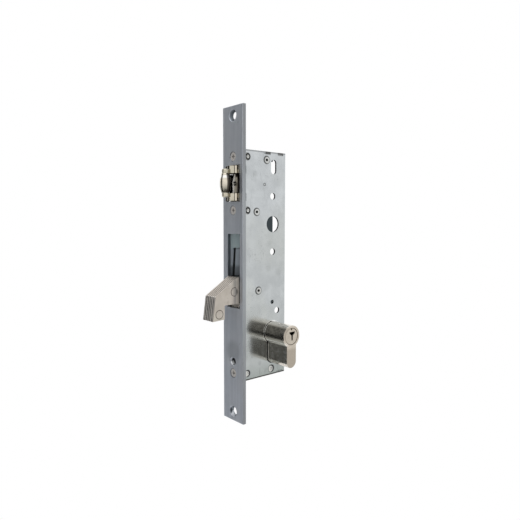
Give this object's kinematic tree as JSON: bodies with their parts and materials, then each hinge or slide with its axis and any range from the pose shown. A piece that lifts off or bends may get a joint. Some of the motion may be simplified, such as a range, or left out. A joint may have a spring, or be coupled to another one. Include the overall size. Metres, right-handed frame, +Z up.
{
  "type": "sliding door hook lock",
  "caption": "Mortise lock for a sliding door, with a swinging laminated hook, a sprung roller latch and a double profile cylinder.",
  "frame": {"origin": "centre of the faceplate's front face", "axes": "+X towards the key side that the picture shows, +Y into the door, +Z up along the faceplate"},
  "size_m": [0.06, 0.0691, 0.238],
  "materials": {
    "faceplate_steel": "satin, blue grey",
    "case_zinc": "bright zinc plated sheet",
    "rivet_steel": "plated",
    "screw_steel": "nickel plated",
    "hook_steel": "nickel plated, ground edges",
    "inner_steel": "plated sheet",
    "cylinder_nickel": "satin nickel plated brass",
    "plug_nickel": "satin nickel plated brass",
    "pin_brass": "plain brass",
    "spring_steel": "spring wire",
    "latch_nickel": "polished nickel"
  },
  "bodies": {
    "lock_case": {"faceplate": "faceplate_steel", "case_body": "case_zinc", "case_cover": "case_zinc", "spacer_rivets": "rivet_steel", "front_posts": "rivet_steel", "faceplate_screws": "screw_steel", "hook_pivot_pin": "rivet_steel", "slide_guide_pins": "inner_steel", "cylinder_body": "cylinder_nickel", "driver_pins": "pin_brass", "chamber_caps": "pin_brass", "pin_springs": "spring_steel", "latch_spring_seat": "inner_steel", "spring_guide_rod": "inner_steel", "latch_spring": "spring_steel"},
    "hook": {"hook_plate_1": "hook_steel", "hook_plate_2": "hook_steel", "hook_plate_3": "hook_steel", "hook_plate_4": "hook_steel", "hook_plate_5": "hook_steel", "hook_plate_6": "hook_steel", "hook_rivets": "rivet_steel"},
    "drive": {"drive_slide": "inner_steel", "drive_pin": "inner_steel"},
    "cam_and_near_plug": {"cylinder_cam": "inner_steel", "near_plug": "plug_nickel", "near_key_pins": "pin_brass", "near_plug_clip": "spring_steel", "clutch_disc": "inner_steel"},
    "far_plug_set": {"far_plug": "plug_nickel", "far_key_pins": "pin_brass", "far_plug_clip": "spring_steel"},
    "latch": {"latch_carrier": "latch_nickel", "roller_pin": "inner_steel", "latch_adjuster": "screw_steel"},
    "roller": {"latch_roller": "latch_nickel"}
  },
  "joints": [
    {"name": "hook_swing", "type": "hinge", "parent": "lock_case", "child": "hook", "pos_m": [0, 0.0185, -0.0189], "axis": [-1, 0, 0], "range_deg": [0, 92]},
    {"name": "drive_travel", "type": "slide", "parent": "lock_case", "child": "drive", "axis": [0, 0, -1], "range_m": [0, 0.0176]},
    {"name": "near_plug_turn", "type": "hinge", "parent": "lock_case", "child": "cam_and_near_plug", "pos_m": [0, 0.033, -0.053], "axis": [1, 0, 0], "range_deg": [0, 94]},
    {"name": "far_plug_turn", "type": "hinge", "parent": "lock_case", "child": "far_plug_set", "pos_m": [0, 0.033, -0.053], "axis": [1, 0, 0], "range_deg": [0, 94]},
    {"name": "latch_slide", "type": "slide", "parent": "lock_case", "child": "latch", "axis": [0, 1, 0], "range_m": [0, 0.006], "stiffness_N_per_m": 1500, "springref_m": -0.006, "deforming": ["latch_spring"]},
    {"name": "roller_spin", "type": "hinge", "parent": "latch", "child": "roller", "pos_m": [0, -0.0067, 0.0622], "axis": [0, 0, 1], "continuous": true}
  ],
  "couplings": [
    {"joint": "drive_travel", "follows": "hook_swing", "m_per_rad": 0.010961},
    {"joint": "near_plug_turn", "follows": "hook_swing", "ratio": 1.0217}
  ]
}
